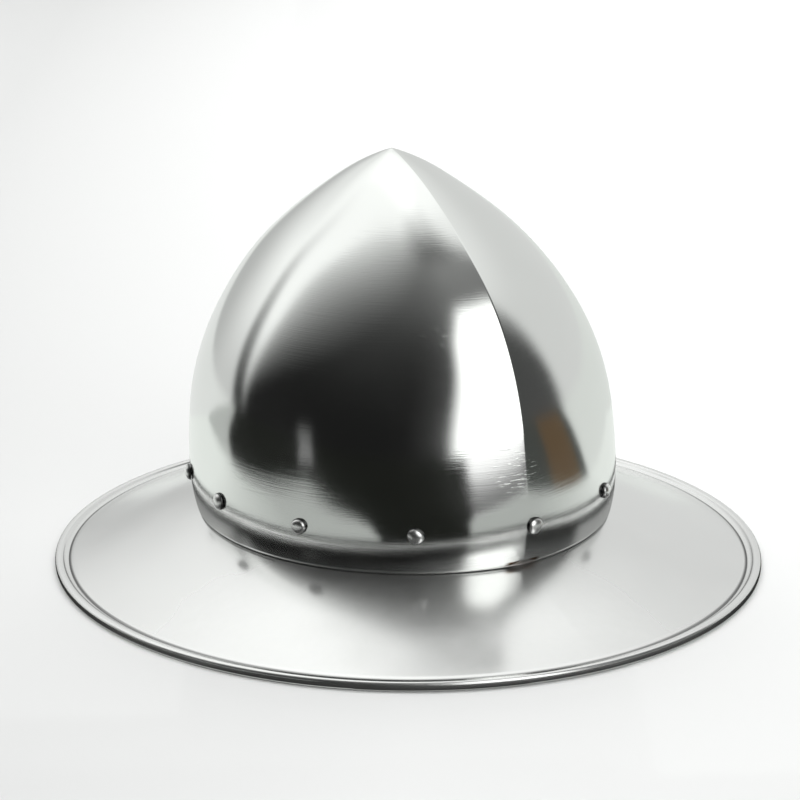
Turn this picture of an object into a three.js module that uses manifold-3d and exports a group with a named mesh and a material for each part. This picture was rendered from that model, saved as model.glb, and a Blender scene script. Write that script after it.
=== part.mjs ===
// Kettle hat: a pointed steel skull, ridged from front to back, riveted over the collar of a sloping brim.
// Millimetres, +Z up, front towards -Y. The hat stands on the brim's rolled edge at z = 0.

import * as THREE from 'three';
import { ParametricGeometry } from 'three/addons/geometries/ParametricGeometry.js';
import { mergeVertices } from 'three/addons/utils/BufferGeometryUtils.js';
import Module from 'manifold-3d';

// Sheet metal
const WALL = 1.5;
const GAP = 0.3;

// Skull sections, from the lower edge to the point.
// ridge is the half length along Y and side the half width along X.
// sweep is how far each side's arc turns from its middle to the ridge: 90 degrees would be a plain oval.
const SKULL_SECTIONS = [
  { z: 27.5, ridge: 115.5, side: 100, sweep: 86 },
  { z: 42, ridge: 119, side: 102, sweep: 84 },
  { z: 63, ridge: 120.5, side: 102, sweep: 81 },
  { z: 90, ridge: 118.5, side: 99.5, sweep: 77.5 },
  { z: 116, ridge: 111.5, side: 91.5, sweep: 74 },
  { z: 143, ridge: 96, side: 76, sweep: 72 },
  { z: 170, ridge: 66.5, side: 52.5, sweep: 72 },
  { z: 187, ridge: 40.5, side: 31.5, sweep: 72 },
  { z: 198, ridge: 19, side: 15, sweep: 72 },
  { z: 205, ridge: 0, side: 0, sweep: 72 },
];

// The skull's lower edge stands a little proud of the brim at the foot of the front ridge.
const EDGE_LIFT = 2;
const EDGE_LIFT_HALF_WIDTH = 9;

// Brim: the oval inner line of the rolled edge, the collar and the bend between them
const BRIM_HALF_LENGTH = 184.5;
const BRIM_HALF_WIDTH = 166;
const BRIM_SLOPE = THREE.MathUtils.degToRad(20);
const BRIM_EDGE_Z = 2.5;
const BRIM_EDGE_INSET = 2.5;
const COLLAR_CLIMB = 31;
const BEND_RADIUS = 0.8;
const BEND_TOP_Z = 27.6;

// Rolled edge, flattened underneath where it stands, with a shallow crease just inside it
const BEAD_RADIUS = 2.25;
const BEAD_FLAT = 0.1;
const BEAD_START = THREE.MathUtils.degToRad(255);
const BEAD_END = THREE.MathUtils.degToRad(465);

// Rivets: degrees round the wall from the front ridge, spaced by eye
const RIVET_PLACES = [2, 34, 68, 96, 122, 151, 182, 214, 247, 273, 302, 332];
const RIVET_CLIMB = 20;
const HEAD_RADIUS = 4;
const HEAD_HEIGHT = 2.5;
const SHANK_RADIUS = 2;
const PEEN_RADIUS = 3;
const PEEN_HEIGHT = 1.4;

// Facets
const COLUMNS = 56;
const SKULL_ROWS = 18;
const COLLAR_ROWS = 3;
const BEND_STEPS = 2;
const SLOPE_STEPS = 3;
const BEAD_STEP = THREE.MathUtils.degToRad(30);
const RIVET_SIDES = 10;
const DOME_STEPS = 3;

const wasm = await Module();
wasm.setup();

const STEEL = new THREE.MeshStandardMaterial({ color: 0xc9cbc7, roughness: 0.18, metalness: 1 });
const RIVET_STEEL = new THREE.MeshStandardMaterial({ color: 0xd2d2ce, roughness: 0.25, metalness: 1 });

// The skull's profile, by the distance climbed along the ridge from the lower edge
const climbs = [0];
for (let i = 1; i < SKULL_SECTIONS.length; i += 1) {
  const low = SKULL_SECTIONS[i - 1];
  const high = SKULL_SECTIONS[i];
  climbs.push(climbs[i - 1] + Math.hypot(high.z - low.z, high.ridge - low.ridge));
}
const SKULL_CLIMB = climbs[climbs.length - 1];
const profile = new THREE.CubicInterpolant(
  climbs,
  SKULL_SECTIONS.flatMap(({ z, ridge, side, sweep }) => [z, ridge, side, THREE.MathUtils.degToRad(sweep)]),
  4,
);

// A point on the skull's outside. turn runs once round from the front ridge, by way of +X.
function outsidePoint(climb, turn) {
  const [z, ridge, side, sweep] = profile.evaluate(climb);
  const lap = THREE.MathUtils.euclideanModulo(turn, 1);
  const mirror = lap <= 0.5 ? 1 : -1;
  const frontToBack = lap <= 0.5 ? 2 * lap : 2 - 2 * lap;
  const angle = THREE.MathUtils.lerp(-sweep, sweep, frontToBack);
  const inset = (side * Math.cos(sweep)) / (1 - Math.cos(sweep));
  const x = (side + inset) * Math.cos(angle) - inset;
  const y = (ridge * Math.sin(angle)) / Math.sin(sweep);
  return new THREE.Vector3(mirror * x, y, z);
}

function outsideNormal(climb, turn) {
  if (climb >= SKULL_CLIMB) {
    return new THREE.Vector3(0, 0, 1);
  }
  const step = 0.001;
  const along = outsidePoint(climb, turn + step).sub(outsidePoint(climb, turn - step));
  const up = outsidePoint(Math.min(climb + step, SKULL_CLIMB), turn).sub(outsidePoint(climb, turn));
  return along.cross(up).normalize();
}

// A point at a depth below the skull's outside
function skullPoint(climb, turn, depth) {
  return outsidePoint(climb, turn).addScaledVector(outsideNormal(climb, turn), -depth);
}

// How far the lower edge is lifted up the wall
function edgeLift(turn) {
  const { x, y } = outsidePoint(0, turn);
  const nearness = Math.max(0, 1 - Math.abs(x) / EDGE_LIFT_HALF_WIDTH);
  return y < 0 ? EDGE_LIFT * nearness : 0;
}

// A closed skin over rings of points: each ring goes once round the hat, by way of +X
function skinOver(ringPoint, ringCount) {
  const last = ringCount - 1;
  const place = (turn, ring, target) => target.copy(ringPoint(turn, Math.round(ring * last)));
  return new ParametricGeometry(place, COLUMNS, last);
}

// Inside of the skull from the point down to the lower edge, then the outside back up
function skullGeometry() {
  const ringPoint = (turn, ring) => {
    const inside = ring <= SKULL_ROWS;
    const row = inside ? SKULL_ROWS - ring : ring - SKULL_ROWS - 1;
    const climb = row === 0 ? edgeLift(turn) : (SKULL_CLIMB * row) / SKULL_ROWS;
    return skullPoint(climb, turn, inside ? WALL : 0);
  };
  return skinOver(ringPoint, 2 * SKULL_ROWS + 2);
}

// The inner line of the rolled edge
function brimLine(turn) {
  const angle = 2 * Math.PI * turn;
  return new THREE.Vector3(BRIM_HALF_WIDTH * Math.sin(angle), -BRIM_HALF_LENGTH * Math.cos(angle), 0);
}

// One closed section of the brim: slope, bend and collar on top, then back underneath to the rolled edge
function brimSection(turn) {
  const foot = skullPoint(0, turn, WALL + GAP).setZ(0);
  const line = brimLine(turn);
  const span = foot.distanceTo(line);
  const outward = line.clone().sub(foot).normalize();
  const at = (reach, z) => foot.clone().addScaledVector(outward, reach).setZ(z);
  const bendAt = (radius, angle) =>
    at(BEND_RADIUS + radius * Math.cos(angle), BEND_TOP_Z + radius * Math.sin(angle));
  const bendEnd = 1.5 * Math.PI - BRIM_SLOPE;
  const points = [];

  const slope = (radius, lineDrop, steps) => {
    const inner = bendAt(radius, bendEnd);
    const outer = at(span - BRIM_EDGE_INSET, BRIM_EDGE_Z - lineDrop);
    return steps.map((i) => outer.clone().lerp(inner, i / SLOPE_STEPS));
  };
  const bend = (radius, steps) =>
    steps.map((i) => bendAt(radius, THREE.MathUtils.lerp(bendEnd, Math.PI, i / BEND_STEPS)));
  const collar = (depth, steps) =>
    steps.map((i) => skullPoint((COLLAR_CLIMB * i) / COLLAR_ROWS, turn, depth));
  const rising = (count) => Array.from({ length: count }, (_, i) => i);
  const falling = (count) => rising(count).reverse();

  points.push(...slope(BEND_RADIUS, 0, rising(SLOPE_STEPS)));
  points.push(...bend(BEND_RADIUS, rising(BEND_STEPS + 1)));
  points.push(...collar(WALL + GAP, rising(COLLAR_ROWS + 1)));
  points.push(...collar(2 * WALL + GAP, falling(COLLAR_ROWS + 1)));
  points.push(...bend(BEND_RADIUS + WALL, falling(BEND_STEPS + 1)));
  points.push(...slope(BEND_RADIUS + WALL, WALL / Math.cos(BRIM_SLOPE), falling(SLOPE_STEPS)));

  for (let angle = BEAD_START; angle < BEAD_END + BEAD_STEP / 2; angle += BEAD_STEP) {
    const z = BEAD_RADIUS - BEAD_FLAT + BEAD_RADIUS * Math.sin(angle);
    points.push(at(span + BEAD_RADIUS * (1 + Math.cos(angle)), Math.max(0, z)));
  }
  points.push(points[0].clone());
  return points;
}

function brimGeometry() {
  const sections = new Map();
  const ringPoint = (turn, ring) => {
    const lap = turn % 1;
    if (!sections.has(lap)) {
      sections.set(lap, brimSection(lap));
    }
    return sections.get(lap)[ring];
  };
  return skinOver(ringPoint, brimSection(0).length);
}

// Seat of a rivet: on the skull's outside, with +Y along the wall's outward normal
function rivetSeat(place) {
  const turn = place / 360;
  const seat = new THREE.Object3D();
  seat.position.copy(outsidePoint(RIVET_CLIMB, turn));
  seat.quaternion.setFromUnitVectors(seat.up.set(0, 1, 0), outsideNormal(RIVET_CLIMB, turn));
  seat.updateMatrix();
  return seat;
}

// Rivet: domed head outside, shank through both walls, peened dome inside
function rivetGeometry() {
  const headBase = GAP;
  const peenBase = -2 * WALL - 2 * GAP;
  const points = [];
  const dome = (radius, base, height, step) => {
    const angle = (0.5 * Math.PI * step) / DOME_STEPS;
    points.push(new THREE.Vector2(radius * Math.cos(angle), base + height * Math.sin(angle)));
  };
  for (let step = DOME_STEPS; step >= 0; step -= 1) {
    dome(PEEN_RADIUS, peenBase, -PEEN_HEIGHT, step);
  }
  points.push(new THREE.Vector2(SHANK_RADIUS, peenBase));
  points.push(new THREE.Vector2(SHANK_RADIUS, headBase));
  for (let step = 0; step <= DOME_STEPS; step += 1) {
    dome(HEAD_RADIUS, headBase, HEAD_HEIGHT, step);
  }
  points[0].x = 0;
  points[points.length - 1].x = 0;
  return new THREE.LatheGeometry(points, RIVET_SIDES);
}

// Booleans: a closed geometry as a solid, and a solid back as a geometry
function toSolid(geometry) {
  const bare = new THREE.BufferGeometry();
  bare.setAttribute('position', geometry.getAttribute('position'));
  bare.setIndex(geometry.getIndex());
  const merged = mergeVertices(bare);
  const corners = merged.getIndex().array;
  const triangles = [];
  for (let i = 0; i < corners.length; i += 3) {
    const [a, b, c] = corners.slice(i, i + 3);
    if (a !== b && b !== c && c !== a) {
      triangles.push(a, b, c);
    }
  }
  const mesh = new wasm.Mesh({
    numProp: 3,
    vertProperties: new Float32Array(merged.getAttribute('position').array),
    triVerts: new Uint32Array(triangles),
  });
  return new wasm.Manifold(mesh);
}

function toGeometry(solid) {
  const mesh = solid.getMesh();
  const geometry = new THREE.BufferGeometry();
  geometry.setAttribute('position', new THREE.BufferAttribute(mesh.vertProperties, 3));
  geometry.setIndex(new THREE.BufferAttribute(mesh.triVerts, 1));
  geometry.computeVertexNormals();
  return geometry;
}

// A sheet with a clear hole at every rivet
function pierced(geometry, seats) {
  const drillLength = 6 * (WALL + GAP);
  const drill = new THREE.CylinderGeometry(SHANK_RADIUS + GAP, SHANK_RADIUS + GAP, drillLength, RIVET_SIDES);
  let solid = toSolid(geometry);
  for (const seat of seats) {
    solid = solid.subtract(toSolid(drill.clone().applyMatrix4(seat.matrix)));
  }
  return toGeometry(solid);
}

function namedMesh(name, geometry, material) {
  const mesh = new THREE.Mesh(geometry, material);
  mesh.name = name;
  return mesh;
}

const kettleHat = new THREE.Group();
const seats = RIVET_PLACES.map(rivetSeat);
kettleHat.add(namedMesh('skull', pierced(skullGeometry(), seats), STEEL));
kettleHat.add(namedMesh('brim', pierced(brimGeometry(), seats), STEEL));

const rivetShape = toGeometry(toSolid(rivetGeometry()));
seats.forEach((seat, index) => {
  const rivet = namedMesh(`rivet_${String(index + 1).padStart(2, '0')}`, rivetShape, RIVET_STEEL);
  rivet.position.copy(seat.position);
  rivet.quaternion.copy(seat.quaternion);
  kettleHat.add(rivet);
});

export default kettleHat;
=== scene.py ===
import math

import bmesh
import bpy
import numpy as np
from mathutils import Matrix, Vector


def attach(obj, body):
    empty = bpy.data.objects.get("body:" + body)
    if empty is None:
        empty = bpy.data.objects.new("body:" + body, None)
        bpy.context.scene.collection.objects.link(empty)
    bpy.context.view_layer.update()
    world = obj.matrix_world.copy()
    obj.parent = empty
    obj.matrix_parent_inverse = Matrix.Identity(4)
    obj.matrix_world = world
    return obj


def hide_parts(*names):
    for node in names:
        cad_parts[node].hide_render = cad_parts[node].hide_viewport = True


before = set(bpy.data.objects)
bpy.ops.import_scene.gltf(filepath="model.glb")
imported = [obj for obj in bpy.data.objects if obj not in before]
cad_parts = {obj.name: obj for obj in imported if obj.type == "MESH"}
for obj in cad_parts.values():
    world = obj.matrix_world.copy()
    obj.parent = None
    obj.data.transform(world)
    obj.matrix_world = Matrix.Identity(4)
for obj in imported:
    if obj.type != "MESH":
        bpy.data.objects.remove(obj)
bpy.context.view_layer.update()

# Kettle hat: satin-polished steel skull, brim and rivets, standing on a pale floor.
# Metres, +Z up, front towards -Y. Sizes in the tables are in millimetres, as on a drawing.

MM = 0.001

# Sheet metal
WALL = 1.5
GAP = 0.3

# Skull sections from the lower edge to the point: height, half length along the ridge,
# half width, and degrees that each side's arc turns from its middle to the ridge
SKULL_SECTIONS = (
    (27.5, 115.5, 100.0, 86.0),
    (42.0, 119.0, 102.0, 84.0),
    (63.0, 120.5, 102.0, 81.0),
    (90.0, 118.5, 99.5, 77.5),
    (116.0, 111.5, 91.5, 74.0),
    (143.0, 96.0, 76.0, 72.0),
    (170.0, 66.5, 52.5, 72.0),
    (187.0, 40.5, 31.5, 72.0),
    (198.0, 19.0, 15.0, 72.0),
    (205.0, 0.0, 0.0, 72.0),
)
TIP_DROP = 0.3
TIP_REACH = 4.0
EDGE_LIFT = 2.0
EDGE_LIFT_HALF_WIDTH = 9.0
EDGE_ROUND = 0.35
EDGE_TURN = 0.5
EDGE_TURN_CLIMB = 10.0

# Brim
BRIM_HALF_LENGTH = 184.5
BRIM_HALF_WIDTH = 166.0
BRIM_SLOPE = math.radians(20)
BRIM_EDGE_Z = 2.5
BRIM_EDGE_INSET = 2.5
COLLAR_CLIMB = 31.0
BEND_RADIUS = 0.8
BEND_TOP_Z = 27.6
BEAD_RADIUS = 2.25
BEAD_FLAT = 0.1
BEAD_SQUARENESS = 0.7

# Degrees round the rolled edge's section, from the underside of the sheet to the inner shoulder
BEAD_START = 255
BEAD_SWEEP = 255

# Shoulder and narrow groove between the rolled edge and the sheet: millimetres out from the brim's
# line, and height
GROOVE = ((-0.3, 3.0), (-0.9, 2.75), (-1.6, 2.6), (-2.1, 2.5), (-2.3, 2.3))

# Rivets: degrees round the wall from the front ridge
RIVET_PLACES = (2, 34, 68, 96, 122, 151, 182, 214, 247, 273, 302, 332)
RIVET_CLIMB = 20.0
HEAD_RADIUS = 4.0
HEAD_HEIGHT = 2.5
SHANK_RADIUS = 2.0
PEEN_RADIUS = 3.0
PEEN_HEIGHT = 1.4
HEAD_SQUARENESS = 0.8

# Hammered rims of the heads: share of the radius, waves round the rim, and step of phase per rivet
HEAD_WAVES = ((0.05, 2, 1.9), (0.03, 3, 0.7))
HEAD_DENT = 0.25
HEAD_DENT_PHASE = 2.3
HEAD_DENT_ABOVE = 1.2

# Hand work: depth of the slow ripple in the skull and the brim, and of the swell in the brim's slope
HAND_RIPPLE = 0.05
BRIM_RIPPLE = 0.06
BRIM_SWELL = 0.4

# Metres of brushed sheet once round the skull and the brim
SKULL_GIRTH = 0.68
BRIM_GIRTH = 1.0

# Mesh fineness
HALF_COLUMNS = 150
RIDGE_COLUMNS = (0.002, 0.005, 0.01)
OUTER_ROWS = 170
INNER_ROWS = 60
SLOPE_STEPS = 22
BEND_STEPS = 10
COLLAR_ROWS = 8
BEAD_STEPS = 26
RIVET_SIDES = 32
DOME_STEPS = 10

# Camera: where it stands round the hat, and where its aim point falls in the 800 px frame
CAMERA_AZIMUTH = -28.5
CAMERA_ELEVATION = 16.7
CAMERA_ROLL = -1.8
CAMERA_DISTANCE = 1.395
CAMERA_AIM = Vector((0, 0, 0.093))
AIM_PIXEL = (398.5, 371.4)
FRAME_PIXELS = 800
FOCAL_PIXELS = 2845
SENSOR_MM = 36

# Steel: tint, roughness, strength of the brushed lines, and share of dull haze
SKULL_FINISH = ((0.86, 0.87, 0.855), 0.11, 0.9, 0)
BRIM_FINISH = ((0.9, 0.9, 0.895), 0.18, 0.1, 0.29)
RIVET_FINISH = ((0.92, 0.92, 0.91), 0.28, 0.3, 0)
HAZE_ROUGHNESS = 0.5
HAZE_FACING = (0.45, 0.65)
LINE_STRETCH = (22, 2600, 1)
LINE_RANGE = (0.35, 0.7)
LINE_ROUGHNESS = 0.025
LINE_DEPTH = 0.00002
CLOUD_STRETCH = (26, 26, 26)
CLOUD_RANGE = (0.3, 0.7)
CLOUD_SHADE = 0.93

# Rust and painted shade where the skull's edge is lifted: middle and fading distance in millimetres, and the
# heights between which it grows
JOINT_RUST_AND_SHADE = (0, -116, 29)
RUST_AND_SHADE_FADE = (7, 10)
BRIM_RUST_AND_SHADE_HEIGHTS = (27.0, 27.5)
SKULL_RUST_AND_SHADE_HEIGHTS = (30.0, 29.4)
RUST_AND_SHADE_COLOUR = (0.12, 0.065, 0.035)

# Scuffed places on the skull: middle and reach in millimetres
SCUFFS = (((-4, -119, 76), 15), ((-30, -88, 134), 8))
SCUFF_CORE = 0.2
SCUFF_STRETCH = (160, 160, 1300)
SCUFF_RANGE = (0.6, 0.7)
SCUFF_STRENGTH = 0.5
SCUFF_DEPTH = 0.00012

# Painted shade round the heads and in the groove: its colour and how it fades, round the heads in millimetres
# up from the skull
HEAD_PAINTED_SHADE = (0.03, 0.03, 0.03)
HEAD_SHADE_SHARE = 0.9
HEAD_SHADE_FADE = (1.1, 1.7)
# Painted shade along the groove beside the rolled edge
GROOVE_PAINTED_SHADE = (0.1, 0.1, 0.1)
GROOVE_SHADE_FADE = (0.55, 0.85)

# Studio by direction: bearings in degrees to the right of the camera, heights in degrees above the
# horizon. A ramp is from, to, and where it has them the levels at both ends.
LEFT_SIDE = (-0.3, 0.3)
LEFT_WALL = (2.0, 32.0, 0.66, 1.15)
RIGHT_WALL = (25.0, 60.0, 0.73, 1.0)
WALL_EDGES = (112.0, 105.0)
WALL_EDGE_FADE = 8.0
WALL_SPREAD = 0.25
LEFT_SPREAD_GROWTH = 0.0045
LEAST_SPREAD = 2.0
LOW_LEFT_DIP = (32.0, 48.0, 0.2, 0.0)
LOW_LEFT_BEARINGS = (120.0, 150.0)
HIGH_BACK_LIFT = (45.0, 60.0, 0.0, 0.2)
HIGH_BACK_BEARINGS = (130.0, 155.0)
ROOM_LEVEL = 0.012
RIGHT_ROOM_LEVEL = 0.07
CEILING_LEVEL = 0.26
CEILING_POWER = 3.0
ZENITH_CAP = (79.0, 88.0, 1.0, 0.5)
STREAK_BEARING = -103.5
STREAK_LEAN = 0.47
STREAK_EDGE = (2.0, 7.0)
STREAK_FADE = (0.0, 60.0, 0.95, 0.0)
WINDOW_BEARING = -62.0
WINDOW_EDGE = (2.0, 5.0)
WINDOW_TOP = (2.0, 8.0)
WINDOW_LEVEL = 0.16
STRIP_LEVEL = 1.8
STRIP_LEFT_EDGE = (1.5, 9.5)
STRIP_RIGHT_EDGE = (40.0, 52.0)
STRIP_HEAD = (42.0, 66.0, 0.0, 6.0)
STRIP_TOP = (56.0, 66.0)
STRIP_TOP_LEAN = -0.08
BACKDROP_LEVEL = 0.95
STUDIO_TINT = (("Red", 0.985), ("Green", 1.0), ("Blue", 0.985))

# Second reflections, of the studio in one piece and then in another, are dimmer
SECOND_REFLECTION = 0.03
SECOND_DIMMING = 0.5
DIM_BELOW = (15.0, 35.0)
DIM_ABOVE = (66.0, 76.0)
STRIP_FOOT_SHIFT = 12.0

# Floor: two greys of a painted shade, darker towards the camera's left, and the metres to the camera's right
# over which one turns into the other
FLOOR_HALF = 6.0
FLOOR_Z = -0.0002
FLOOR_SHADE_GREYS = (0.66, 0.875)
FLOOR_SHADE_SPAN = (-0.35, 0.0)
FLOOR_ROUGHNESS = 0.7
FLOOR_SPECULAR = 0.2

# Ring beside the brim's line for reflections: margins in millimetres
CONTACT_SHADE = (0, 22)
CONTACT_SIDES = 96
CONTACT_COLOUR = (0.03, 0.03, 0.03)
CONTACT_LAYER = 4

# Lamp
LAMP_SIZE = 3.0
LAMP_WATTS = 46
LAMP_PLACE = (0.5, 0.9, 2.1)

# What the steel reflects beyond the hat: outlines by metres to the camera's right and towards it
TABLE = ((-0.42, -0.25), (-0.355, -0.08), (-0.33, 0.03), (-0.335, 0.25), (0.02, 0.258),
         (0.28, 0.27), (0.28, -0.25))
ROOM_LEFT = ((-0.42, -0.25), (-1.0, -0.45), (-9.0, -2.6), (-9.0, 9.0), (1.3, 9.0), (0.08, 0.262),
             (0.02, 0.258), (-0.335, 0.25), (-0.33, 0.03), (-0.355, -0.08))
ROOM_MIDDLE = ((0.08, 0.27), (1.3, 9.0), (8.0, 9.0), (0.26, 0.28))
GLOW = ((0.1, 0.32), (1.6, 9.0), (6.0, 9.0), (0.22, 0.32))
ROOM_RIGHT = ((0.26, 0.28), (8.0, 9.0), (9.0, -2.6), (0.28, -0.04))
CHAIR = ((0.28, 0.085), (9.0, 0.3), (9.0, -2.0), (0.28, -0.01))
SHADE = ((-0.158, 0.262), (-0.099, 0.24), (-0.07, 0.21), (-0.04, 0.18), (0.055, 0.18), (0.075, 0.285))
TABLE_RIM = ((-0.42, -0.25), (-1.0, -0.45), (-9.0, -2.8), (-9.0, -2.3), (-1.2, -0.28), (-0.62, -0.13),
             (-0.46, -0.08), (-0.35, -0.025), (-0.33, 0.03), (-0.355, -0.08))
PATH = ((-0.526, 0.304), (-8.1, 3.95), (-7.6, 4.77), (-0.572, 0.431))
GROUND_LEFT = ((-0.1, -9.0), (-9.0, -9.0), (-9.0, 0.2), (-0.1, 0.2))
GROUND_RIGHT = ((0.1, -9.0), (9.0, -9.0), (9.0, 0.28), (0.1, 0.28))

# Cards lie in thin layers on the floor: name, outline, layer, colour, and the fade towards the camera
# where there is one, from and to in metres with the strength at both ends
CARD_Z = 0.0002
CARDS = (
    ("table", TABLE, 1, (0.47, 0.49, 0.47), (-0.06, 0.13, 1.85, 1)),
    ("ground_left", GROUND_LEFT, 0.5, (0.82, 0.84, 0.82), None),
    ("ground_right", GROUND_RIGHT, 0.5, (0.76, 0.79, 0.76), None),
    ("room_left", ROOM_LEFT, 2, (0.012, 0.013, 0.011), None),
    ("room_middle", ROOM_MIDDLE, 2, (0.19, 0.19, 0.19), None),
    ("glow", GLOW, 3, (1, 1, 1), (0.32, 0.75, 0.16, 1.2)),
    ("room_right", ROOM_RIGHT, 2, (0.06, 0.065, 0.06), None),
    ("chair", CHAIR, 3, (0.12, 0.08, 0.045), None),
    ("path", PATH, 3, (0.22, 0.22, 0.22), None),
    ("table_rim", TABLE_RIM, 3, (0.5, 0.52, 0.5), None),
    ("shade", SHADE, 3, (0.012, 0.013, 0.011), None),
)


# Curves and surfaces of the hat

def natural_spline(knots, values):
    """A smooth curve through rows of values, as a function of the knot parameter."""
    count = len(knots)
    step = np.diff(knots)
    system = np.eye(count)
    bends = np.zeros_like(values)
    for i in range(1, count - 1):
        system[i, i - 1:i + 2] = step[i - 1], 2 * (step[i - 1] + step[i]), step[i]
        rise = (values[i + 1] - values[i]) / step[i]
        bends[i] = 6 * (rise - (values[i] - values[i - 1]) / step[i - 1])
    curve = np.linalg.solve(system, bends)

    def evaluate(at):
        at = np.clip(at, knots[0], knots[-1])
        i = np.clip(np.searchsorted(knots, at, side="right") - 1, 0, count - 2)
        width = step[i][..., None]
        b = (at - knots[i])[..., None] / width
        a = 1 - b
        cubic = ((a ** 3 - a) * curve[i] + (b ** 3 - b) * curve[i + 1]) * width ** 2 / 6
        return a * values[i] + b * values[i + 1] + cubic

    return evaluate


SECTION_ROWS = np.array(SKULL_SECTIONS)
CLIMBS = np.concatenate(([0], np.cumsum(np.hypot(*np.diff(SECTION_ROWS[:, :2], axis=0).T))))
SKULL_CLIMB = CLIMBS[-1]
section_at = natural_spline(CLIMBS, SECTION_ROWS)


def skull_outside(climb, turn):
    """Points on the skull's outside; turn runs once round from the front ridge, by way of +X."""
    climb, turn = np.broadcast_arrays(np.asarray(climb, float), np.asarray(turn, float))
    z, ridge, side, sweep = np.moveaxis(section_at(climb), -1, 0)
    sweep = np.radians(sweep)
    lap = np.mod(turn, 1)
    first_half = lap <= 0.5
    front_to_back = np.where(first_half, 2 * lap, 2 - 2 * lap)
    angle = sweep * (2 * front_to_back - 1)
    inset = side * np.cos(sweep) / (1 - np.cos(sweep))
    x = np.where(first_half, 1, -1) * ((side + inset) * np.cos(angle) - inset)
    y = ridge * np.sin(angle) / np.sin(sweep)
    z = z - TIP_DROP * np.exp(-(ridge / TIP_REACH) ** 2)
    return np.stack((x, y, z), -1)


def skull_normal(climb, turn):
    """Outward directions. Right at the point, the directions just below it are used."""
    step = 0.0005
    climb, turn = np.broadcast_arrays(np.asarray(climb, float), np.asarray(turn, float))
    climb = np.minimum(climb, SKULL_CLIMB - 0.5)
    along = skull_outside(climb, turn + step) - skull_outside(climb, turn - step)
    up = skull_outside(climb + 0.05, turn) - skull_outside(climb, turn)
    normal = np.cross(along, up)
    return normal / np.linalg.norm(normal, axis=-1, keepdims=True)


def skull_point(climb, turn, depth):
    """Points at a depth in from the skull's outside."""
    return skull_outside(climb, turn) - np.asarray(depth)[..., None] * skull_normal(climb, turn)


def column_turns():
    """Turns of the mesh columns, closer together at the ridge so that it stays crisp."""
    even = np.linspace(0, 1, HALF_COLUMNS + 1)[1:-1]
    near = np.array(RIDGE_COLUMNS)
    half = np.concatenate(([0], near, even[(even > 0.015) & (even < 0.985)], 1 - near[::-1]))
    return np.concatenate((half / 2, 0.5 + half / 2))


TURNS = column_turns()


def hand_ripple(points, depth):
    """A slow uneven ripple, as hand-planished sheet has."""
    x, y, z = np.moveaxis(points, -1, 0)
    ripple = np.sin(0.061 * x + 0.043 * y + 0.05 * z + 0.4)
    ripple = ripple + np.sin(0.09 * y - 0.071 * z + 1.7)
    ripple = ripple + 0.6 * np.sin(0.12 * x + 0.11 * z + 2.9)
    return depth * ripple


# Mesh helpers

def mesh_from_rings(name, rings, uv_rings, capped):
    """Skin over rings of points in millimetres; capped rings end in a point, others join up."""
    rings = np.asarray(rings)
    count, columns, _ = rings.shape
    vertices = rings.reshape(-1, 3) * MM
    faces = []
    ring_pairs = range(count - 1) if capped else range(count)
    for ring in ring_pairs:
        low = ring * columns
        high = ((ring + 1) % count) * columns
        for column in range(columns):
            after = (column + 1) % columns
            faces.append((low + column, low + after, high + after, high + column))
    mesh = bpy.data.meshes.new(name)
    mesh.from_pydata(vertices.tolist(), [], faces)
    layer = mesh.uv_layers.new(name="sheet")
    uv = np.asarray(uv_rings)
    corners = np.empty((len(faces), 4, 2))
    face = 0
    for ring in ring_pairs:
        above = (ring + 1) % count
        around = np.append(uv[ring, :, 0], uv[ring, 0, 0] + uv[ring, -1, 0] + uv[ring, 1, 0])
        for column in range(columns):
            low_v = uv[ring, column, 1]
            high_v = uv[above, column, 1]
            u0, u1 = around[column], around[column + 1]
            corners[face] = ((u0, low_v), (u1, low_v), (u1, high_v), (u0, high_v))
            face += 1
    layer.data.foreach_set("uv", corners.ravel())
    mesh.polygons.foreach_set("use_smooth", [True] * len(faces))
    if capped:
        weld_ends(mesh)
    mesh.validate()
    piece = bpy.data.objects.new(name, mesh)
    bpy.context.scene.collection.objects.link(piece)
    return piece


def weld_ends(mesh):
    """Close the ends of a capped skin into single points."""
    shape = bmesh.new()
    shape.from_mesh(mesh)
    bmesh.ops.remove_doubles(shape, verts=shape.verts, dist=1e-7)
    shape.to_mesh(mesh)
    shape.free()


def finish_piece(piece, node, material):
    """Give a piece its steel and put it in the place of its CAD node."""
    piece.data.materials.append(material)
    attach(piece, "root")
    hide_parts(node)


# Skull

def edge_climb():
    """How far the lower edge is lifted up the wall, at each column."""
    x, y, _ = np.moveaxis(skull_outside(0, TURNS), -1, 0)
    near = np.clip(1 - np.abs(x) / EDGE_LIFT_HALF_WIDTH, 0, 1)
    return np.where(y < 0, EDGE_LIFT * near * near * (3 - 2 * near), 0)


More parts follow.
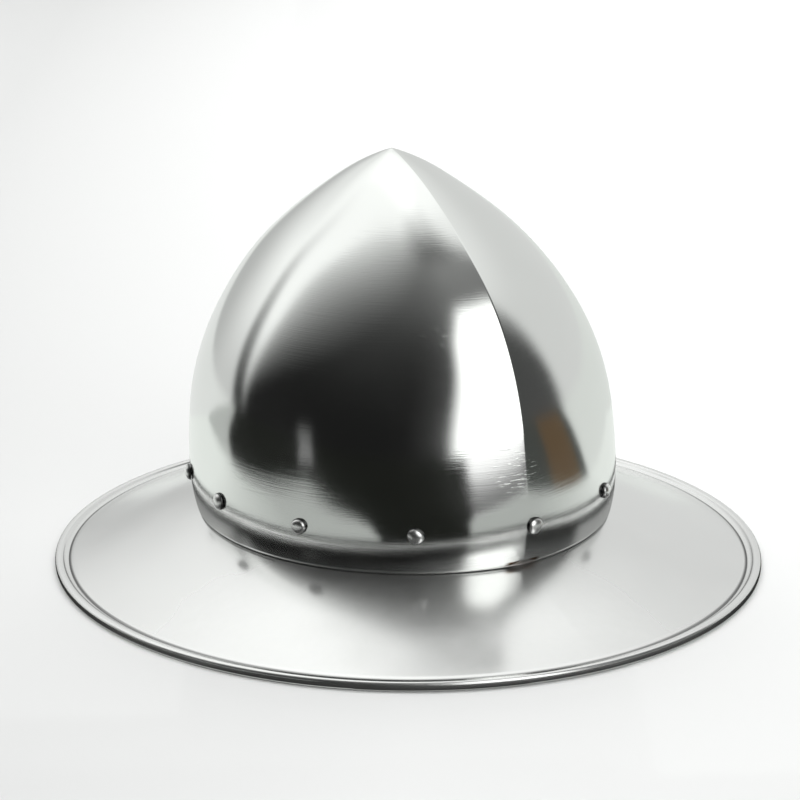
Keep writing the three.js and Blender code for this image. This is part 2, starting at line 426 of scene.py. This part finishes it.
def make_skull(material):
    """The shell, from its point down the inside, round the lower edge and up the outside."""
    lift = edge_climb()
    rings = []
    uv_rings = []
    around = TURNS * SKULL_GIRTH

    def add(share, depth, ripple):
        climb = lift + (SKULL_CLIMB - lift) * share
        depths = np.full_like(TURNS, depth)
        if depth < WALL / 2:
            depths += EDGE_TURN * np.clip(1 - climb / EDGE_TURN_CLIMB, 0, 1) ** 2
        points = skull_point(climb, TURNS, depths)
        if ripple:
            fade = min(1, 6 * share, 12 * (1 - share))
            outward = skull_normal(climb, TURNS)
            points = points + outward * hand_ripple(points, HAND_RIPPLE * fade)[:, None]
        if share >= 1:
            points = np.tile(points[:1] * (0, 0, 1), (len(TURNS), 1))
        rings.append(points)
        uv_rings.append(np.stack((around, climb * MM), -1))

    round_share = EDGE_ROUND / SKULL_CLIMB
    for row in range(INNER_ROWS, 0, -1):
        add(row / INNER_ROWS, WALL, False)
    add(round_share, WALL, False)
    add(0, WALL - EDGE_ROUND, False)
    add(0, EDGE_ROUND, False)
    add(round_share, 0, False)
    for row in range(1, OUTER_ROWS + 1):
        add(row / OUTER_ROWS, 0, True)
    piece = mesh_from_rings("skull_shell", rings, uv_rings, capped=True)
    finish_piece(piece, "skull", material)


# Brim

def make_brim(material):
    """The sheet, from its edge up the slope, over the collar, back underneath and round the rolled edge."""
    foot = skull_point(0, TURNS, np.full_like(TURNS, WALL + GAP))
    angle = 2 * math.pi * TURNS
    across = BRIM_HALF_WIDTH * np.sin(angle)
    line = np.stack((across, -BRIM_HALF_LENGTH * np.cos(angle), 0 * angle), -1)
    foot = foot * (1, 1, 0)
    span = np.linalg.norm(line - foot, axis=-1)
    outward = (line - foot) / span[:, None]
    bend_end = 1.5 * math.pi - BRIM_SLOPE
    around = TURNS * BRIM_GIRTH
    rings = []
    uv_rings = []
    travel = [0.0]

    def push(points):
        if rings:
            travel[0] += float(np.linalg.norm(points[0] - rings[-1][0])) * MM
        rings.append(points)
        uv_rings.append(np.stack((around, np.full_like(around, travel[0])), -1))

    def at(reach, z):
        points = foot + outward * np.asarray(reach)[..., None]
        points[:, 2] = z
        return points

    def bend_at(radius, turned):
        reach = BEND_RADIUS + radius * math.cos(turned)
        return at(np.full_like(TURNS, reach), BEND_TOP_Z + radius * math.sin(turned))

    def slope(radius, drop, steps):
        inner = bend_at(radius, bend_end)
        outer = at(span - BRIM_EDGE_INSET, BRIM_EDGE_Z - drop)
        for step in steps:
            share = step / SLOPE_STEPS
            points = outer + (inner - outer) * share
            belly = math.sin(math.pi * share)
            points[:, 2] += hand_ripple(points, BRIM_RIPPLE * belly)
            points[:, 2] -= BRIM_SWELL * math.sin(2 * math.pi * share)
            push(points)

    def bend(radius, steps):
        for step in steps:
            push(bend_at(radius, bend_end + (math.pi - bend_end) * step / BEND_STEPS))

    def collar(depth, steps):
        for step in steps:
            push(skull_point(COLLAR_CLIMB * step / COLLAR_ROWS, TURNS, np.full_like(TURNS, depth)))

    slope(BEND_RADIUS, 0, range(SLOPE_STEPS))
    bend(BEND_RADIUS, range(BEND_STEPS + 1))
    collar(WALL + GAP, range(COLLAR_ROWS + 1))
    collar(2 * WALL + GAP, range(COLLAR_ROWS, -1, -1))
    bend(BEND_RADIUS + WALL, range(BEND_STEPS, -1, -1))
    slope(BEND_RADIUS + WALL, WALL / math.cos(BRIM_SLOPE), range(SLOPE_STEPS - 1, -1, -1))
    for step in range(BEAD_STEPS + 1):
        turned = math.radians(BEAD_START + BEAD_SWEEP * step / BEAD_STEPS)
        out = math.copysign(abs(math.cos(turned)) ** BEAD_SQUARENESS, math.cos(turned))
        up = math.copysign(abs(math.sin(turned)) ** BEAD_SQUARENESS, math.sin(turned))
        z = BEAD_RADIUS - BEAD_FLAT + BEAD_RADIUS * up
        push(at(span + BEAD_RADIUS * (1 + out), max(0, z)))
    for reach, z in GROOVE:
        push(at(span + reach, z))
    piece = mesh_from_rings("brim_sheet", rings, uv_rings, capped=False)
    # Painted shade in the groove: the two rings that close the sheet there are marked dark
    groove_shade = np.zeros((len(rings), len(TURNS)))
    groove_shade[0] = groove_shade[-1] = 1
    attribute = piece.data.attributes.new("groove_shade", "FLOAT", "POINT")
    attribute.data.foreach_set("value", groove_shade.ravel())
    finish_piece(piece, "brim", material)


# Rivets

def rivet_profile():
    """Radius and height of a rivet's outline, from the inside end to the head's top."""
    peen_base = -2 * WALL - 2 * GAP
    quarter = np.linspace(0, math.pi / 2, DOME_STEPS + 1)
    outline = []
    for a in quarter[::-1]:
        outline.append((PEEN_RADIUS * math.cos(a), peen_base - PEEN_HEIGHT * math.sin(a)))
    outline += [(SHANK_RADIUS, peen_base), (SHANK_RADIUS, GAP)]
    for a in quarter:
        outline.append((HEAD_RADIUS * math.cos(a) ** HEAD_SQUARENESS, GAP + HEAD_HEIGHT * math.sin(a)))
    return outline


def make_rivet(index, material):
    """One rivet, hammered a little differently from the others."""
    turn = RIVET_PLACES[index] / 360
    seat = skull_outside(RIVET_CLIMB, turn)
    normal = skull_normal(RIVET_CLIMB, turn)
    side = np.cross((0, 0, 1), normal)
    side = side / np.linalg.norm(side)
    up = np.cross(normal, side)
    angles = np.linspace(0, 2 * math.pi, RIVET_SIDES, endpoint=False)
    rim = np.ones_like(angles)
    for share, waves, phase in HEAD_WAVES:
        rim += share * np.sin(waves * angles + phase * index)
    tilt = HEAD_DENT * np.cos(angles + HEAD_DENT_PHASE * index)
    rings = []
    uv_rings = []
    for radius, height in rivet_profile():
        spread = radius * rim if height > 0 else np.full_like(angles, radius)
        dent = tilt * (radius / HEAD_RADIUS) if height > HEAD_DENT_ABOVE else 0 * angles
        ring = seat + np.outer(spread * np.cos(angles), side) + np.outer(spread * np.sin(angles), up)
        rings.append(ring + np.outer(height + dent, normal))
        uv_rings.append(np.stack((angles * HEAD_RADIUS * MM, np.full_like(angles, height * MM)), -1))
    number = f"{index + 1:02d}"
    piece = mesh_from_rings(f"rivet_head_{number}", rings, uv_rings, capped=True)
    finish_piece(piece, f"rivet_{number}", material)


# Materials

def new_material(name):
    material = bpy.data.materials.new(name)
    material.use_nodes = True
    return material, material.node_tree.nodes, material.node_tree.links


def stretched_noise(nodes, links, coordinates, stretch, detail):
    mapping = nodes.new("ShaderNodeMapping")
    mapping.inputs["Scale"].default_value = stretch
    noise = nodes.new("ShaderNodeTexNoise")
    noise.inputs["Scale"].default_value = 1
    noise.inputs["Detail"].default_value = detail
    links.new(coordinates, mapping.inputs["Vector"])
    links.new(mapping.outputs["Vector"], noise.inputs["Vector"])
    return noise.outputs["Fac"]


def map_range(nodes, links, value, low, high, to_low, to_high):
    node = nodes.new("ShaderNodeMapRange")
    node.inputs["From Min"].default_value = low
    node.inputs["From Max"].default_value = high
    node.inputs["To Min"].default_value = to_low
    node.inputs["To Max"].default_value = to_high
    links.new(value, node.inputs["Value"])
    return node.outputs["Result"]


def combine(nodes, links, operation, first, second):
    """One value from two, by a math node."""
    node = nodes.new("ShaderNodeMath")
    node.operation = operation
    links.new(first, node.inputs[0])
    links.new(second, node.inputs[1])
    return node.outputs["Value"]


def distance_from(nodes, links, place, middle):
    """Distance from a place on the hat, which is given in millimetres."""
    offset = nodes.new("ShaderNodeVectorMath")
    offset.operation = "DISTANCE"
    offset.inputs[1].default_value = Vector(middle) * MM
    links.new(place, offset.inputs[0])
    return offset.outputs["Value"]


def steel_material(name, tint, roughness, brush, haze):
    """Polished steel with brushed lines round the sheet, a cloudy polish and a share of haze."""
    material, nodes, links = new_material(name)
    shader = nodes["Principled BSDF"]
    shader.inputs["Metallic"].default_value = 1
    uv = nodes.new("ShaderNodeUVMap")
    uv.uv_map = "sheet"
    lines = stretched_noise(nodes, links, uv.outputs["UV"], LINE_STRETCH, 3)
    place = nodes.new("ShaderNodeTexCoord")
    clouds = stretched_noise(nodes, links, place.outputs["Object"], CLOUD_STRETCH, 4)

    colour = nodes.new("ShaderNodeMix")
    colour.data_type = "RGBA"
    colour.inputs["A"].default_value = (*(CLOUD_SHADE * c for c in tint), 1)
    colour.inputs["B"].default_value = (*tint, 1)
    links.new(clouds, colour.inputs["Factor"])
    links.new(colour.outputs["Result"], shader.inputs["Base Color"])

    cloudy = map_range(nodes, links, clouds, *CLOUD_RANGE, roughness * 0.8, roughness * 1.25)
    scored = map_range(nodes, links, lines, *LINE_RANGE, 0, LINE_ROUGHNESS)
    links.new(combine(nodes, links, "ADD", cloudy, scored), shader.inputs["Roughness"])

    bump = nodes.new("ShaderNodeBump")
    bump.inputs["Strength"].default_value = brush
    bump.inputs["Distance"].default_value = LINE_DEPTH
    links.new(lines, bump.inputs["Height"])
    links.new(bump.outputs["Normal"], shader.inputs["Normal"])
    if haze > 0:
        add_haze(nodes, links, colour.outputs["Result"], clouds, haze)
    return material


def add_haze(nodes, links, colour, clouds, haze):
    """Mix in a duller steel, less of it where the sheet is seen at a low angle."""
    dull = nodes.new("ShaderNodeBsdfPrincipled")
    dull.inputs["Metallic"].default_value = 1
    dull.inputs["Roughness"].default_value = HAZE_ROUGHNESS
    links.new(colour, dull.inputs["Base Color"])
    view = nodes.new("ShaderNodeLayerWeight")
    view.inputs["Blend"].default_value = 0.5
    cloudy = map_range(nodes, links, clouds, *CLOUD_RANGE, 0.9 * haze, 1.1 * haze)
    facing = map_range(nodes, links, view.outputs["Facing"], *HAZE_FACING, 1, 0)
    blend = nodes.new("ShaderNodeMixShader")
    links.new(combine(nodes, links, "MULTIPLY", cloudy, facing), blend.inputs["Fac"])
    links.new(nodes["Principled BSDF"].outputs["BSDF"], blend.inputs[1])
    links.new(dull.outputs["BSDF"], blend.inputs[2])
    links.new(blend.outputs["Shader"], nodes["Material Output"].inputs["Surface"])


def tint_over(material, share, colour):
    """Mix a colour over the steel's own, by a share between 0 and 1."""
    nodes, links = material.node_tree.nodes, material.node_tree.links
    shader = nodes["Principled BSDF"]
    steel = shader.inputs["Base Color"].links[0].from_socket
    mix = nodes.new("ShaderNodeMix")
    mix.data_type = "RGBA"
    mix.inputs["B"].default_value = (*colour, 1)
    links.new(steel, mix.inputs["A"])
    links.new(share, mix.inputs["Factor"])
    links.new(mix.outputs["Result"], shader.inputs["Base Color"])


def paint_shade_round_heads(material):
    """Painted shade: a dark ring where each head meets the skull."""
    nodes, links = material.node_tree.nodes, material.node_tree.links
    uv = nodes.new("ShaderNodeUVMap")
    uv.uv_map = "sheet"
    split = nodes.new("ShaderNodeSeparateXYZ")
    links.new(uv.outputs["UV"], split.inputs["Vector"])
    low, high = (height * MM for height in HEAD_SHADE_FADE)
    share = map_range(nodes, links, split.outputs["Y"], low, high, HEAD_SHADE_SHARE, 0)
    tint_over(material, share, HEAD_PAINTED_SHADE)


def paint_shade_in_groove(material):
    """Painted shade: a thin dark line all round, in the groove beside the rolled edge."""
    nodes, links = material.node_tree.nodes, material.node_tree.links
    groove_shade = nodes.new("ShaderNodeAttribute")
    groove_shade.attribute_name = "groove_shade"
    tint_over(material, map_range(nodes, links, groove_shade.outputs["Fac"], *GROOVE_SHADE_FADE, 0, 1), GROOVE_PAINTED_SHADE)


def scuff_the_skull(material):
    """Fine scratches in the few places where the polish is worn."""
    nodes, links = material.node_tree.nodes, material.node_tree.links
    brushed = nodes["Principled BSDF"].inputs["Normal"].links[0].from_node
    place = nodes.new("ShaderNodeTexCoord").outputs["Object"]
    ticks = stretched_noise(nodes, links, place, SCUFF_STRETCH, 2)
    depth = map_range(nodes, links, ticks, *SCUFF_RANGE, 0, 1)
    worn = []
    for middle, reach in SCUFFS:
        distance = distance_from(nodes, links, place, middle)
        worn.append(map_range(nodes, links, distance, SCUFF_CORE * reach * MM, reach * MM, 1, 0))
    share = combine(nodes, links, "MULTIPLY", combine(nodes, links, "MAXIMUM", *worn), depth)
    bump = nodes.new("ShaderNodeBump")
    bump.inputs["Strength"].default_value = SCUFF_STRENGTH
    bump.inputs["Distance"].default_value = SCUFF_DEPTH
    links.new(share, bump.inputs["Height"])
    links.new(bump.outputs["Normal"], brushed.inputs["Normal"])


def rust_and_shade_the_joint(material, low, high):
    """Brown rust with painted shade between two heights, where the skull's edge is lifted at the front ridge.
    """
    nodes, links = material.node_tree.nodes, material.node_tree.links
    place = nodes.new("ShaderNodeTexCoord").outputs["Object"]
    distance = distance_from(nodes, links, place, JOINT_RUST_AND_SHADE)
    near = map_range(nodes, links, distance, RUST_AND_SHADE_FADE[0] * MM, RUST_AND_SHADE_FADE[1] * MM, 1, 0)
    split = nodes.new("ShaderNodeSeparateXYZ")
    links.new(place, split.inputs["Vector"])
    grown = map_range(nodes, links, split.outputs["Z"], low * MM, high * MM, 0, 1)
    tint_over(material, combine(nodes, links, "MULTIPLY", near, grown), RUST_AND_SHADE_COLOUR)


# Studio

class SkyMath:
    """Small helper that chains value nodes in the world's node tree."""

    def __init__(self, tree):
        self.nodes = tree.nodes
        self.links = tree.links

    def put(self, socket, value):
        if isinstance(value, (int, float)):
            socket.default_value = value
        else:
            self.links.new(value, socket)

    def math(self, operation, *values):
        node = self.nodes.new("ShaderNodeMath")
        node.operation = operation
        for socket, value in zip(node.inputs, values):
            self.put(socket, value)
        return node.outputs["Value"]

    def ramp(self, value, low, high, to_low=0.0, to_high=1.0):
        node = self.nodes.new("ShaderNodeMapRange")
        node.interpolation_type = "SMOOTHSTEP"
        for name, number in (("Value", value), ("From Min", low), ("From Max", high),
                             ("To Min", to_low), ("To Max", to_high)):
            self.put(node.inputs[name], number)
        return node.outputs["Result"]

    def mix(self, factor, a, b):
        node = self.nodes.new("ShaderNodeMix")
        node.data_type = "FLOAT"
        for socket, value in zip(node.inputs[:1] + node.inputs[2:4], (factor, a, b)):
            self.put(socket, value)
        return node.outputs[0]

    def less(self, level, share):
        return self.math("MULTIPLY", level, self.math("SUBTRACT", 1.0, share))


def pale_walls(sky, bearing, height, left):
    """Level of the walls behind the hat, which fade into the dark room in front of it."""
    above = sky.math("MAXIMUM", height, 0.0)
    around = sky.math("ABSOLUTE", bearing)
    wall = sky.mix(left, sky.ramp(height, *RIGHT_WALL), sky.ramp(height, *LEFT_WALL))
    left_spread = sky.math("MULTIPLY_ADD", above, LEFT_SPREAD_GROWTH, WALL_SPREAD)
    spread = sky.math("MULTIPLY", above, sky.mix(left, WALL_SPREAD, left_spread))
    spread = sky.math("MAXIMUM", spread, LEAST_SPREAD)
    lack = sky.math("MAXIMUM", sky.math("SUBTRACT", sky.mix(left, *WALL_EDGES), around), 0.0)
    glow = sky.math("EXPONENT", sky.math("MULTIPLY", sky.math("DIVIDE", lack, spread), -1.0))
    beyond = sky.ramp(lack, 0.0, WALL_EDGE_FADE, 1.0, 0.0)
    wall = sky.mix(beyond, sky.math("MINIMUM", wall, 1.0), wall)
    level = sky.math("MULTIPLY", sky.mix(beyond, glow, 1.0), wall)
    dip = sky.math("MULTIPLY", left, sky.ramp(height, *LOW_LEFT_DIP))
    level = sky.less(level, sky.math("MULTIPLY", dip, sky.ramp(around, *LOW_LEFT_BEARINGS)))
    lift = sky.math("MULTIPLY", sky.ramp(around, *HIGH_BACK_BEARINGS), sky.ramp(height, *HIGH_BACK_LIFT))
    return sky.math("MULTIPLY", level, sky.math("ADD", 1.0, lift))


def dark_room(sky, height, left):
    """Level of the room in front, a little lighter towards the ceiling."""
    climb = sky.math("DIVIDE", sky.math("MAXIMUM", height, 0.0), 90.0)
    ceiling = sky.math("MULTIPLY", sky.math("POWER", climb, CEILING_POWER), CEILING_LEVEL)
    return sky.math("ADD", sky.mix(left, RIGHT_ROOM_LEVEL, ROOM_LEVEL), ceiling)


def dark_streak(sky, bearing, height):
    """Share of a dark leaning streak at the left."""
    off = sky.math("ADD", sky.math("MULTIPLY_ADD", height, STREAK_LEAN, -STREAK_BEARING), bearing)
    streak = sky.ramp(sky.math("ABSOLUTE", off), *STREAK_EDGE, 1.0, 0.0)
    return sky.math("MULTIPLY", streak, sky.ramp(height, *STREAK_FADE))


def small_window(sky, bearing, height):
    """Share of a dim narrow window low at the left."""
    off = sky.math("ABSOLUTE", sky.math("ADD", bearing, -WINDOW_BEARING))
    across = sky.ramp(off, *WINDOW_EDGE, 1.0, 0.0)
    return sky.math("MULTIPLY", across, sky.ramp(height, *WINDOW_TOP, 1.0, 0.0))


def strip_light(sky, bearing, height, second):
    """Share of the tall strip light at the right."""
    foot = sky.math("MULTIPLY", second, STRIP_FOOT_SHIFT)
    edge = sky.math("SUBTRACT", bearing, sky.math("ADD", foot, sky.ramp(height, *STRIP_HEAD)))
    strip = sky.ramp(edge, *STRIP_LEFT_EDGE)
    strip = sky.math("MULTIPLY", strip, sky.ramp(bearing, *STRIP_RIGHT_EDGE, 1.0, 0.0))
    top = sky.math("MULTIPLY_ADD", bearing, STRIP_TOP_LEAN, height)
    return sky.math("MULTIPLY", strip, sky.ramp(top, *STRIP_TOP, 1.0, 0.0))


def make_world():
    """A studio by direction: pale walls behind, a dark room in front, and one tall soft strip light."""
    world = bpy.data.worlds.new("studio")
    bpy.context.scene.world = world
    world.use_nodes = True
    tree = world.node_tree
    sky = SkyMath(tree)
    place = tree.nodes.new("ShaderNodeTexCoord")
    split = tree.nodes.new("ShaderNodeSeparateXYZ")
    tree.links.new(place.outputs["Generated"], split.inputs["Vector"])
    x, y, z = split.outputs
    bearing = sky.math("ARCTAN2", x, sky.math("MULTIPLY", y, -1.0))
    bearing = sky.math("SUBTRACT", sky.math("DEGREES", bearing), CAMERA_AZIMUTH)
    bearing = sky.math("WRAP", bearing, 180.0, -180.0)
    height = sky.math("DEGREES", sky.math("ARCSINE", z))
    left = sky.ramp(sky.math("SINE", sky.math("RADIANS", bearing)), *LEFT_SIDE, 1.0, 0.0)
    path = tree.nodes.new("ShaderNodeLightPath")
    second = sky.ramp(path.outputs["Glossy Depth"], 1.0, 2.0)

    level = sky.math("MAXIMUM", pale_walls(sky, bearing, height, left), dark_room(sky, height, left))
    level = sky.math("MULTIPLY", level, sky.ramp(height, *ZENITH_CAP))
    level = sky.less(level, dark_streak(sky, bearing, height))
    lit = sky.math("MAXIMUM", level, WINDOW_LEVEL)
    level = sky.mix(small_window(sky, bearing, height), level, lit)
    dim = sky.math("MAXIMUM", sky.ramp(height, *DIM_BELOW, 1.0, 0.0), sky.ramp(height, *DIM_ABOVE))
    level = sky.less(level, sky.math("MULTIPLY", sky.math("MULTIPLY", second, dim), SECOND_DIMMING))
    level = sky.mix(strip_light(sky, bearing, height, second), level, STRIP_LEVEL)

    level = sky.mix(path.outputs["Is Camera Ray"], level, BACKDROP_LEVEL)
    tint = tree.nodes.new("ShaderNodeCombineColor")
    for channel, share in STUDIO_TINT:
        tree.links.new(sky.math("MULTIPLY", level, share), tint.inputs[channel])
    tree.links.new(tint.outputs["Color"], tree.nodes["Background"].inputs["Color"])


def stage_mesh(name, points, faces):
    """A piece of the studio, which isn't part of the hat."""
    mesh = bpy.data.meshes.new(name)
    mesh.from_pydata(points, [], faces)
    piece = bpy.data.objects.new(name, mesh)
    bpy.context.scene.collection.objects.link(piece)
    return piece


def flat_mesh(name, outline, z):
    return stage_mesh(name, [(x, y, z) for x, y in outline], [tuple(range(len(outline)))])


def from_camera(aside, nearer):
    """A place on the floor by metres to the camera's right and metres towards the camera."""
    azimuth = math.radians(CAMERA_AZIMUTH)
    return (aside * math.cos(azimuth) + nearer * math.sin(azimuth),
            aside * math.sin(azimuth) - nearer * math.cos(azimuth))


def along_floor(nodes, links, direction):
    """Distance along a level direction, in metres from the hat's middle."""
    place = nodes.new("ShaderNodeTexCoord")
    along = nodes.new("ShaderNodeVectorMath")
    along.operation = "DOT_PRODUCT"
    along.inputs[1].default_value = (*direction, 0)
    links.new(place.outputs["Object"], along.inputs[0])
    return along.outputs["Value"]


def make_floor():
    """A pale floor with painted shade, a little greyer towards the camera's left."""
    half = FLOOR_HALF
    floor = flat_mesh("floor", ((-half, -half), (half, -half), (half, half), (-half, half)), FLOOR_Z)
    material, nodes, links = new_material("pale_floor")
    shader = nodes["Principled BSDF"]
    shader.inputs["Roughness"].default_value = FLOOR_ROUGHNESS
    shader.inputs["Specular IOR Level"].default_value = FLOOR_SPECULAR
    # Painted shade: the floor greys towards the camera's left
    aside = along_floor(nodes, links, from_camera(1, 0))
    shade = nodes.new("ShaderNodeMix")
    shade.data_type = "RGBA"
    for name, grey in zip("AB", FLOOR_SHADE_GREYS):
        shade.inputs[name].default_value = (grey, grey, grey, 1)
    links.new(map_range(nodes, links, aside, *FLOOR_SHADE_SPAN, 0, 1), shade.inputs["Factor"])
    links.new(shade.outputs["Result"], shader.inputs["Base Color"])
    floor.data.materials.append(material)


def make_reflection_only(card, colour, fade=None):
    """Let only reflections see a card, like the dark room beyond the edge of a table."""
    material, nodes, links = new_material(card.name)
    nodes.remove(nodes["Principled BSDF"])
    glow = nodes.new("ShaderNodeEmission")
    glow.inputs["Color"].default_value = (*colour, 1)
    path = nodes.new("ShaderNodeLightPath")
    strength = map_range(nodes, links, path.outputs["Glossy Depth"], 1, 2, 1, SECOND_REFLECTION)
    if fade:
        nearer = along_floor(nodes, links, from_camera(0, 1))
        strength = combine(nodes, links, "MULTIPLY", map_range(nodes, links, nearer, *fade), strength)
    links.new(strength, glow.inputs["Strength"])
    links.new(glow.outputs["Emission"], nodes["Material Output"].inputs["Surface"])
    card.data.materials.append(material)
    card.visible_camera = False
    card.visible_diffuse = False
    card.visible_shadow = False


def make_contact_shade():
    """A ring for reflections only, as dark as the shadow that the brim leaves beside its edge."""
    count = CONTACT_SIDES
    points = []
    for margin in CONTACT_SHADE:
        for turn in np.linspace(0, 2 * math.pi, count, endpoint=False):
            x = (BRIM_HALF_WIDTH + margin) * MM * math.sin(turn)
            y = -(BRIM_HALF_LENGTH + margin) * MM * math.cos(turn)
            points.append((x, y, CONTACT_LAYER * CARD_Z))
    quads = [(i, (i + 1) % count, count + (i + 1) % count, count + i) for i in range(count)]
    make_reflection_only(stage_mesh("contact_shade", points, quads), CONTACT_COLOUR)


def make_cards():
    for name, outline, layer, colour, fade in CARDS:
        corners = [from_camera(*corner) for corner in outline]
        make_reflection_only(flat_mesh(name, corners, layer * CARD_Z), colour, fade)
    make_contact_shade()


def make_lights():
    light = bpy.data.lights.new("overhead", "AREA")
    light.shape = "RECTANGLE"
    light.size = LAMP_SIZE
    light.size_y = LAMP_SIZE
    light.energy = LAMP_WATTS
    lamp = bpy.data.objects.new("overhead", light)
    lamp.location = LAMP_PLACE
    lamp.rotation_euler = (-lamp.location).to_track_quat("-Z", "Y").to_euler()
    lamp.visible_glossy = False
    bpy.context.scene.collection.objects.link(lamp)


def make_camera():
    """The photograph's view, with the aim point where it falls in the frame."""
    azimuth = math.radians(CAMERA_AZIMUTH)
    elevation = math.radians(CAMERA_ELEVATION)
    roll = math.radians(CAMERA_ROLL)
    back = Vector((math.sin(azimuth) * math.cos(elevation), -math.cos(azimuth) * math.cos(elevation),
                   math.sin(elevation)))
    level_right = Vector((math.cos(azimuth), math.sin(azimuth), 0))
    level_up = back.cross(level_right)
    right = math.cos(roll) * level_right + math.sin(roll) * level_up
    up = back.cross(right)
    metres_per_pixel = CAMERA_DISTANCE / FOCAL_PIXELS
    middle = FRAME_PIXELS / 2
    aside = (AIM_PIXEL[0] - middle) * metres_per_pixel
    below = (AIM_PIXEL[1] - middle) * metres_per_pixel
    place = CAMERA_AIM - aside * right + below * up + CAMERA_DISTANCE * back
    data = bpy.data.cameras.new("camera")
    data.sensor_width = SENSOR_MM
    data.lens = FOCAL_PIXELS / FRAME_PIXELS * SENSOR_MM
    camera = bpy.data.objects.new("camera", data)
    camera.matrix_world = Matrix.Translation(place) @ Matrix((right, up, back)).transposed().to_4x4()
    bpy.context.scene.collection.objects.link(camera)
    bpy.context.scene.camera = camera


# The scene

bpy.context.scene.view_settings.view_transform = "Standard"
SKULL_STEEL = steel_material("polished_skull_steel", *SKULL_FINISH)
BRIM_STEEL = steel_material("satin_brim_steel", *BRIM_FINISH)
# Rust and painted shade where the skull's edge is lifted at the front ridge
rust_and_shade_the_joint(BRIM_STEEL, *BRIM_RUST_AND_SHADE_HEIGHTS)
# Painted shade in the groove beside the rolled edge
paint_shade_in_groove(BRIM_STEEL)
RIVET_STEEL = steel_material("rivet_steel", *RIVET_FINISH)
# Painted shade round the rivet heads
paint_shade_round_heads(RIVET_STEEL)
scuff_the_skull(SKULL_STEEL)
# Rust and painted shade where the skull's edge is lifted at the front ridge
rust_and_shade_the_joint(SKULL_STEEL, *SKULL_RUST_AND_SHADE_HEIGHTS)
make_skull(SKULL_STEEL)
make_brim(BRIM_STEEL)
for rivet_index in range(len(RIVET_PLACES)):
    make_rivet(rivet_index, RIVET_STEEL)
make_world()
make_floor()
make_cards()
make_lights()
make_camera()
